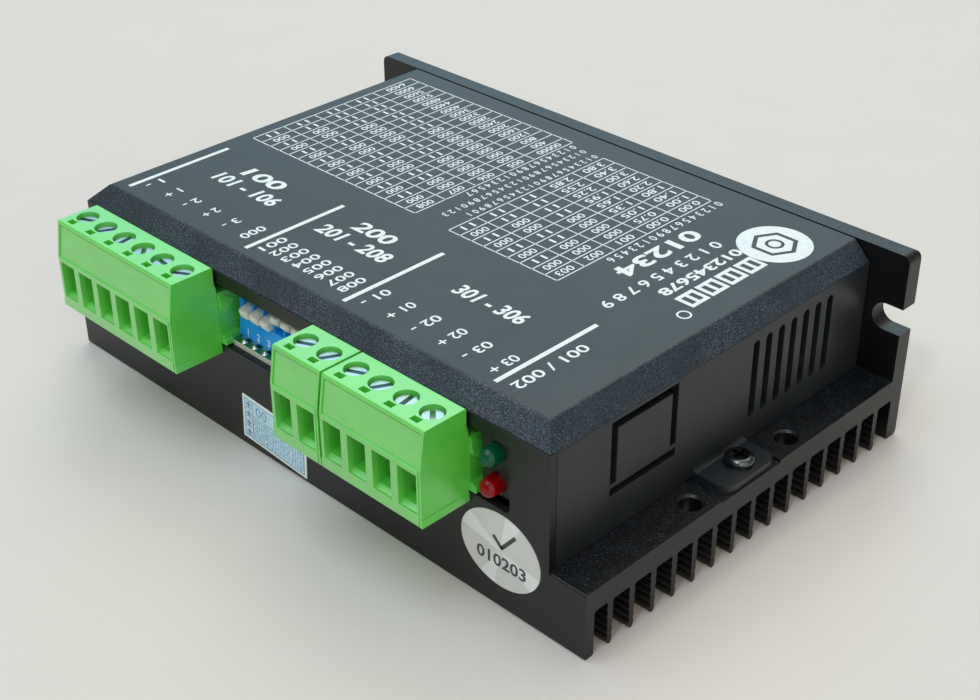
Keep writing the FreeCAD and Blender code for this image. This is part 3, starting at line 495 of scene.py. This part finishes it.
# --- printing --------------------------------------------------------------------------------
class Print:
    """Ink on a flat face: text, bars and grids gathered into one thin mesh.

    The face is given by a point on it and the directions in which u and v grow.
    """

    def __init__(self, name, origin, u_axis, v_axis, material, slot="black_powder_coat", rise=INK_RISE):
        self.name = name
        self.rise = rise
        self.mesh = bmesh.new()
        u, v = Vector(u_axis).normalized(), Vector(v_axis).normalized()
        n = u.cross(v)
        self.frame = Matrix((
            (u.x, v.x, n.x, origin.x),
            (u.y, v.y, n.y, origin.y),
            (u.z, v.z, n.z, origin.z),
            (0, 0, 0, 1),
        ))
        self.material = material
        self.slot = slot

    def bar(self, u0, u1, v0, v1):
        """A filled rectangle between two corners, in mm."""
        self.line(((u0 + u1) / 2, v0), ((u0 + u1) / 2, v1), abs(u1 - u0))

    def line(self, start, end, width):
        """A straight stroke with square ends between two points, in mm."""
        start, end = Vector(start), Vector(end)
        run = end - start
        centre = (start + end) / 2
        place = Matrix.Translation((centre.x * MM, centre.y * MM, (self.rise - INK_DEPTH) / 2))
        spin = Matrix.Rotation(math.atan2(run.y, run.x), 4, "Z")
        size = Matrix.Diagonal((run.length * MM, width * MM, self.rise + INK_DEPTH, 1))
        bmesh.ops.create_cube(self.mesh, size=1.0, matrix=self.frame @ place @ spin @ size)

    def text(self, words, centre, length, height, turn=0, slant=0.0, weight=0.0):
        """Words fitted to a length and a height in mm, reading along u after the turn."""
        curve = bpy.data.curves.new(self.name + "_text", "FONT")
        curve.body = words
        curve.shear = slant
        curve.offset = weight
        curve.resolution_u = 3
        curve.extrude = 1.0
        holder = bpy.data.objects.new(self.name + "_text", curve)
        bpy.context.scene.collection.objects.link(holder)
        bpy.context.view_layer.update()
        shaped = holder.evaluated_get(bpy.context.evaluated_depsgraph_get())
        made = bpy.data.meshes.new_from_object(shaped)
        low = Vector([min(v.co[i] for v in made.vertices) for i in range(3)])
        high = Vector([max(v.co[i] for v in made.vertices) for i in range(3)])
        span = high - low
        size = Matrix.Diagonal((
            length * MM / span.x, height * MM / span.y, (self.rise + INK_DEPTH) / span.z, 1,
        ))
        to_middle = Matrix.Translation(-(low + high) / 2)
        spin = Matrix.Rotation(math.radians(turn), 4, "Z")
        place = Matrix.Translation((centre[0] * MM, centre[1] * MM, (self.rise - INK_DEPTH) / 2))
        made.transform(self.frame @ place @ spin @ size @ to_middle)
        self.mesh.from_mesh(made)
        bpy.data.objects.remove(holder)
        bpy.data.curves.remove(curve)
        bpy.data.meshes.remove(made)

    def grid(self, u_lines, v_lines, width):
        """Ruled lines of a table at the given places, in mm."""
        half = width / 2
        for u in u_lines:
            self.bar(u - half, u + half, v_lines[0] - half, v_lines[-1] + half)
        for v in v_lines:
            self.bar(u_lines[0] - half, u_lines[-1] + half, v - half, v + half)

    def disc(self, centre, radius, sides=64, inner=0.0):
        """A filled disc, polygon or ring."""
        outer_ring = self.ring(centre, radius, sides)
        if inner <= 0:
            self.mesh.faces.new(outer_ring[0])
            self.mesh.faces.new(list(reversed(outer_ring[1])))
            self.wall(outer_ring[0], outer_ring[1])
            return
        inner_ring = self.ring(centre, inner, sides)
        self.wall(outer_ring[0], outer_ring[1])
        self.wall(inner_ring[1], inner_ring[0])
        self.wall(inner_ring[0], outer_ring[0])
        self.wall(outer_ring[1], inner_ring[1])

    def ring(self, centre, radius, sides):
        """Two loops of corners, one above the face and one just inside it."""
        angles = [2 * math.pi * i / sides for i in range(sides)]
        loops = []
        for level in (self.rise, -INK_DEPTH):
            corners = [
                Vector((
                    (centre[0] + radius * math.cos(angle)) * MM,
                    (centre[1] + radius * math.sin(angle)) * MM,
                    level,
                ))
                for angle in angles
            ]
            loops.append([self.mesh.verts.new(self.frame @ corner) for corner in corners])
        return loops

    def wall(self, upper, lower):
        """A band of faces between two loops of corners."""
        count = len(upper)
        for i in range(count):
            j = (i + 1) % count
            self.mesh.faces.new((upper[j], upper[i], lower[i], lower[j]))

    def finish(self):
        """Makes the gathered ink a piece that rides on the module."""
        bmesh.ops.triangulate(self.mesh, faces=self.mesh.faces[:])
        data = bpy.data.meshes.new(self.name)
        self.mesh.to_mesh(data)
        self.mesh.free()
        data.materials.append(self.material)
        piece = bpy.data.objects.new(self.name, data)
        bpy.context.scene.collection.objects.link(piece)
        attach(piece, "module")
        return piece


# --- printing on the top ---------------------------------------------------------------------
# Places are in mm from the body's left end and from its front. Heights and lengths are in mm.
READ_BACK_TO_FRONT = -90
DIVIDER_WIDTH = 0.8
# (x, front end, back end)
DIVIDERS = ((97.0, 4.4, 24.9), (66.3, 4.4, 24.5), (43.3, 4.6, 24.5), (12.6, 4.7, 25.0))
HEADING_HEIGHT = 3.1
# (words, middle, length)
HEADINGS = (
    ("100", (26.6, 21.7), 9.6),
    ("101 - 106", (27.3, 17.4), 15.5),
    ("200", (54.0, 21.6), 8.6),
    ("201 - 208", (54.0, 17.2), 15.8),
    ("301 - 306", (82.2, 18.6), 13.8),
)
POWER_LEGENDS_X = (14.8, 19.8, 24.9, 29.9, 35.1)
SIGNAL_LEGENDS_X = (68.9, 74.2, 79.5, 84.7, 89.7, 94.8)
SWITCH_LEGENDS_X = 45.4
SWITCH_LEGENDS_PITCH = 2.6
TABLE_RULE = 0.2
TILES = 4
TILE_PITCH = 4.6
TILE_HALF = 2.0
TILE_STROKE = 0.7
# (left edge, right edge) of the tiles, along X
TILE_EDGES = (100.1, 103.7)
SMALL_RING = (104.0, 35.6)
NUT = (100.5, 61.9)


def top_print(name, material, rise=INK_RISE):
    return Print(name, on_top(0, 0), (1, 0, 0), (0, 1, 0), material, rise=rise)


def print_dividers(white):
    """Four bars that part the sections behind the connectors."""
    sheet = top_print("print_dividers", white)
    half = DIVIDER_WIDTH / 2
    for x, front, back in DIVIDERS:
        sheet.bar(x - half, x + half, front, back)
    sheet.finish()


def print_headings(white):
    """Bold section numbers, read from the front."""
    sheet = top_print("print_headings", white)
    for words, place, length in HEADINGS:
        sheet.text(words, place, length, HEADING_HEIGHT, slant=0.08, weight=0.028)
    sheet.finish()


def print_legends(white):
    """Numbers beside each terminal, key and lamp, read from the left end."""
    sheet = top_print("print_legends", white)
    style = {"turn": READ_BACK_TO_FRONT, "weight": 0.014}
    for index, x in enumerate(POWER_LEGENDS_X):
        sheet.text("{} {}".format(1 + index // 2, "-+"[index % 2]), (x, 8.2), 3.1, 1.75, **style)
    sheet.text("000", (40.1, 8.6), 4.6, 1.75, **style)
    for index in range(SWITCHES):
        place = (SWITCH_LEGENDS_X + SWITCH_LEGENDS_PITCH * index, 8.4)
        sheet.text("{:03d}".format(index + 1), place, 5.0, 1.65, **style)
    for index, x in enumerate(SIGNAL_LEGENDS_X):
        sheet.text("{:02d} {}".format(1 + index // 2, "-+"[index % 2]), (x, 8.4), 5.2, 1.8, **style)
    sheet.text("001 / 002", (99.8, 12.4), 14.4, 1.9, **style)
    sheet.finish()


def table_lines(start, end, count):
    """The edges of count equal rows between two places."""
    return [start + (end - start) * i / count for i in range(count + 1)]


def print_table(name, white, x_range, y_lines, rows, header, cells):
    """A table whose heading row is at the right and whose columns run from back to front."""
    sheet = top_print(name, white)
    x_lines = table_lines(x_range[0], x_range[1], rows + 1)
    sheet.grid(x_lines, y_lines, TABLE_RULE)
    column_middles = [(a + b) / 2 for a, b in zip(y_lines, y_lines[1:])]
    height = (x_lines[1] - x_lines[0]) * 0.56
    digit_width = height * 0.816
    for row in range(rows + 1):
        x = (x_lines[rows - row] + x_lines[rows - row + 1]) / 2
        words = header if row == 0 else cells(row - 1)
        for y, word in zip(column_middles, words):
            length = digit_width * len(word)
            sheet.text(word, (x, y), length, height, turn=READ_BACK_TO_FRONT, weight=0.01)
    return sheet


def key_states(row, count):
    """The key settings of one row, counted in binary with 11 for one and 000 for nought."""
    return ["11" if (row >> bit) & 1 else "000" for bit in range(count)]


def number_line(count):
    """The digits 0 to 9 over and over, with spaces between them."""
    return " ".join(str(index % 10) for index in range(count))


def small_table_row(row):
    return key_states(row, 3) + ["{:.2f}".format(0.75 + 0.3 * row), "{:.2f}".format(1.0 + 0.4 * row)]


def large_table_row(row):
    return key_states(row, 4) + [str(400 * (row + 1))]


def print_tables(white):
    """The two tables of key settings, with lines of digits beside them."""
    fine = {"turn": READ_BACK_TO_FRONT, "weight": 0.008}
    small = print_table(
        "print_table_small", white, (61.4, 84.4), [30.3, 36.4, 43.4, 50.9, 58.8, 66.8], 8,
        ["003", "002", "001", "0.00", "0.00"], small_table_row,
    )
    small.text(number_line(17), (85.9, 53.7), 27.0, 1.6, **fine)
    small.text(number_line(22), (59.9, 51.4), 30.4, 1.35, **fine)
    small.text(number_line(24), (57.2, 50.0), 33.4, 1.35, **fine)
    small.finish()
    large = print_table(
        "print_table_large", white, (12.3, 53.4), [30.6, 37.4, 44.4, 51.4, 58.4, 67.9], 16,
        ["008", "007", "006", "005", "00000"], large_table_row,
    )
    large.text(number_line(18), (54.7, 53.9), 26.0, 1.45, **fine)
    large.finish()


def print_title(white, dark):
    """Rows of plain numbers and tiles beside the tables, with a disc and nut motif."""
    sheet = top_print("print_title", white)
    bold = {"turn": READ_BACK_TO_FRONT, "weight": 0.028}
    sheet.text("01234", (89.6, 47.4), 18.4, 3.3, **bold)
    sheet.text(number_line(10), (94.2, 42.8), 26.8, 2.1, turn=READ_BACK_TO_FRONT, weight=0.014)
    sheet.text("012345678", (97.9, 47.2), 18.6, 2.1, **bold)
    left, right = TILE_EDGES
    for index in range(TILES):
        y = 53.9 - TILE_PITCH * index
        sheet.bar(left, left + TILE_STROKE, y - TILE_HALF, y + TILE_HALF)
        sheet.bar(right - TILE_STROKE, right, y - TILE_HALF, y + TILE_HALF)
        for v in (y - TILE_HALF, y - TILE_STROKE / 2, y + TILE_HALF - TILE_STROKE):
            sheet.bar(left + TILE_STROKE, right - TILE_STROKE, v, v + TILE_STROKE)
    sheet.disc(SMALL_RING, 1.15, inner=0.85)
    sheet.disc(NUT, 5.9)
    sheet.finish()
    motif = top_print("print_motif", dark, MOTIF_RISE)
    motif.disc(NUT, 3.9, sides=6, inner=3.1)
    motif.disc(NUT, 1.5, inner=1.0)
    motif.finish()


# --- printing on the front -------------------------------------------------------------------
# The pale label stands askew by this many degrees.
LABEL_TILT = 3.6
# Its panel's half length and half height, its first column's edge and its heading's foot, in mm
# from its middle.
PANEL_HALF = (7.2, 3.6)
FIRST_COLUMN = -5.2
HEADING_FOOT = 0.9
LABEL_COLUMNS = 6
LABEL_ROWS = 3


def print_switch_marks(white):
    """Numbers on the rocker switches' housing, one below each key."""
    lean = Vector((0, *SWITCH_LEAN))
    sheet = Print("print_switch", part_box("dip_body")[0], (1, 0, 0), lean, white, slot="switch_blue")
    for number in range(1, SWITCHES + 1):
        width = 0.22 if number == 1 else 0.75
        place = (2.06 + SWITCH_PITCH * (number - 1), 1.15)
        sheet.text(str(number), place, width, 1.15, weight=0.01)
    sheet.finish()


def print_oval_mark(dark):
    """A plain tick and a row of numbers on the silver label."""
    centre = middle("oval_label")
    face = Vector((centre.x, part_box("oval_label")[0].y, centre.z))
    sheet = Print("print_oval", face, (1, 0, 0), (0, 0, 1), dark, slot="silver_label")
    sheet.line((-1.3, 2.1), (0.45, 0.5), 0.6)
    sheet.line((0.25, 0.5), (2.9, 3.7), 0.6)
    sheet.text("010203", (0.2, -1.9), 9.4, 2.1, weight=0.02)
    sheet.finish()


def label_sheet(name, material, rise):
    """Ink on the pale label, from its middle and along its own edges."""
    centre = middle("grid_label")
    face = Vector((centre.x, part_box("grid_label")[0].y, centre.z))
    tilt = math.radians(-LABEL_TILT)
    u = (math.cos(tilt), 0, math.sin(tilt))
    v = (-math.sin(tilt), 0, math.cos(tilt))
    return Print(name, face, u, v, material, slot="printed_label", rise=rise)


def print_grid_mark(pale, blue):
    """A pale panel ruled in blue: four blocks at the left, then rows of small numbers."""
    right, top = PANEL_HALF
    panel = label_sheet("print_label_panel", pale, PANEL_RISE)
    panel.bar(-right, right, -top, top)
    panel.finish()
    sheet = label_sheet("print_label_grid", blue, LABEL_INK_RISE)
    sheet.grid([-right, FIRST_COLUMN, right], [-top, top], 0.14)
    for index in range(4):
        v = 2.75 - 1.8 * index
        sheet.bar(-6.85, -5.55, v - 0.15, v + 0.15)
        sheet.bar(-6.35, -6.05, v - 0.6, v + 0.6)
        sheet.bar(-6.85, -5.55, v - 0.7, v - 0.5)
    columns = table_lines(FIRST_COLUMN, right, LABEL_COLUMNS)
    rows = table_lines(-top, HEADING_FOOT, LABEL_ROWS)
    sheet.grid(columns, rows, 0.12)
    for u in (-3.1, 3.1):
        sheet.text("00", (u, 2.25), 2.7, 1.9, weight=0.004)
    sheet.bar(0.0, 0.12, HEADING_FOOT, top)
    for row in range(LABEL_ROWS):
        for column in range(LABEL_COLUMNS):
            place = ((columns[column] + columns[column + 1]) / 2, (rows[row] + rows[row + 1]) / 2)
            number = (LABEL_ROWS - 1 - row) * LABEL_COLUMNS + column + 1
            sheet.text("{:02d}".format(number), place, 1.25, 0.9, weight=0.008)
    sheet.finish()


def all_printing():
    white = ink("white_ink", (0.80, 0.87, 0.92))
    print_dividers(white)
    print_headings(white)
    print_legends(white)
    print_tables(white)
    print_title(white, ink("motif_ink", (0.03, 0.035, 0.04)))
    print_switch_marks(ink("switch_ink", (0.85, 0.88, 0.9)))
    print_oval_mark(ink("dark_ink", (0.06, 0.06, 0.065)))
    print_grid_mark(ink("label_panel_ink", (0.66, 0.87, 0.98)), ink("label_ink", (0.20, 0.46, 0.74)))


# --- soldered feet ---------------------------------------------------------------------------
SOLDER_SIDES = 20
# (share of the radius, share of the height) down the mound's hollow side
SOLDER_PROFILE = ((1.0, 0.0), (0.82, 0.14), (0.66, 0.34), (0.56, 0.62), (0.5, 0.86), (0.36, 1.0))


def solder_mound(mesh, x, y, z, radius, height):
    """A concave mound of solder round a foot, as rings of a turned profile."""
    angles = [2 * math.pi * i / SOLDER_SIDES for i in range(SOLDER_SIDES)]
    rings = []
    for share, rise in SOLDER_PROFILE:
        reach = share * radius
        level = z + rise * height
        rings.append([
            mesh.verts.new((x + reach * math.cos(angle), y + reach * math.sin(angle), level))
            for angle in angles
        ])
    for lower, upper in zip(rings, rings[1:]):
        for i in range(SOLDER_SIDES):
            j = (i + 1) % SOLDER_SIDES
            mesh.faces.new((lower[i], lower[j], upper[j], upper[i]))
    mesh.faces.new(rings[-1])
    mesh.faces.new(list(reversed(rings[0])))


def add_solder():
    """Solder at the front row of the rocker switches' feet."""
    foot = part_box("main_board")[1].z - 0.02 * MM
    first_x = middle("dip_body").x - (SWITCHES - 1) / 2 * SWITCH_PITCH * MM
    row_y = BODY_LOW.y + 2.1 * MM
    mesh = bmesh.new()
    for index in range(SWITCHES):
        x = first_x + SWITCH_PITCH * MM * index
        solder_mound(mesh, x, row_y, foot, 0.7 * MM, 0.42 * MM)
    data = bpy.data.meshes.new("solder_mounds")
    mesh.to_mesh(data)
    mesh.free()
    for face in data.polygons:
        face.use_smooth = True
    data.materials.append(solder())
    piece = bpy.data.objects.new("solder_mounds", data)
    bpy.context.scene.collection.objects.link(piece)
    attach(piece, "module")


# --- camera, light and floor -----------------------------------------------------------------
CAMERA_PLACE = (0.16640, -0.15896, 0.15155)
CAMERA_LOOK = (-0.59908, 0.60303, -0.52675)
CAMERA_ROLL = -0.2945
CAMERA_LENS = 60.08
CAMERA_SENSOR = 36.0
FLOOR_HALF = 3.0


def add_camera():
    data = bpy.data.cameras.new("camera")
    data.sensor_width = CAMERA_SENSOR
    data.lens = CAMERA_LENS
    data.clip_start = 0.01
    camera = bpy.data.objects.new("camera", data)
    level = Vector(CAMERA_LOOK).to_track_quat("-Z", "Y")
    roll = Quaternion((0, 0, 1), math.radians(CAMERA_ROLL))
    camera.rotation_mode = "QUATERNION"
    camera.rotation_quaternion = level @ roll
    camera.location = CAMERA_PLACE
    bpy.context.scene.collection.objects.link(camera)
    bpy.context.scene.camera = camera


def add_sun(name, towards, spread_angle, energy, colour):
    """Soft light from a direction: a disc spread_angle degrees wide, very far off."""
    data = bpy.data.lights.new(name, "SUN")
    data.angle = math.radians(spread_angle)
    data.energy = energy
    data.color = colour
    light = bpy.data.objects.new(name, data)
    light.rotation_euler = (-Vector(towards)).to_track_quat("-Z", "Y").to_euler()
    bpy.context.scene.collection.objects.link(light)


# name: (direction the light comes from, width in degrees, energy, colour)
LIGHTS = {
    "window": ((-0.60, 0.60, 0.53), 44, 0.58, (0.42, 0.78, 1.0)),
    "ceiling": ((0.0, 0.1, 1.0), 80, 0.70, (1.0, 0.88, 0.95)),
    "back_top": ((-0.30, 0.50, 0.85), 50, 0.65, (1.0, 0.90, 0.55)),
    "front_top": ((-0.25, -0.35, 0.90), 50, 1.05, (0.72, 0.93, 1.0)),
    "right_fill": ((0.85, -0.35, 0.40), 60, 0.80, (1.0, 0.93, 0.65)),
    "tube": ((0.20, -0.62, 0.76), 6, 0.42, (0.90, 0.95, 1.0)),
}
WORLD_COLOUR = (0.95, 1.0, 1.0)
WORLD_STRENGTH = 0.22


def add_light():
    world = bpy.data.worlds.new("studio")
    world.use_nodes = True
    background = world.node_tree.nodes["Background"]
    background.inputs["Color"].default_value = (*WORLD_COLOUR, 1)
    background.inputs["Strength"].default_value = WORLD_STRENGTH
    bpy.context.scene.world = world
    for name, (towards, spread_angle, energy, colour) in LIGHTS.items():
        add_sun(name, towards, spread_angle, energy, colour)


def add_floor():
    """A plain pale floor just below the feet, too wide for its edge to show."""
    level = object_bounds()[0][2] - 0.02 * MM
    reach = FLOOR_HALF
    corners = [(-reach, -reach, level), (reach, -reach, level), (reach, reach, level), (-reach, reach, level)]
    mesh = bpy.data.meshes.new("floor")
    mesh.from_pydata(corners, [], [(0, 1, 2, 3)])
    look = Look("floor", (0.68, 0.635, 0.615), 0.6, Specular_IOR_Level=0.3)
    grain = look.noise(60, 4, 0.6)
    look.colour(look.blend(grain, (0.665, 0.622, 0.600), (0.695, 0.650, 0.628)))
    mesh.materials.append(look.material)
    floor = bpy.data.objects.new("floor", mesh)
    bpy.context.scene.collection.objects.link(floor)


def set_tone():
    view = bpy.context.scene.view_settings
    view.view_transform = "Standard"
    view.look = "None"
    view.exposure = 0.0


add_camera()
add_light()
add_floor()
set_tone()
dress_all()
all_printing()
add_solder()
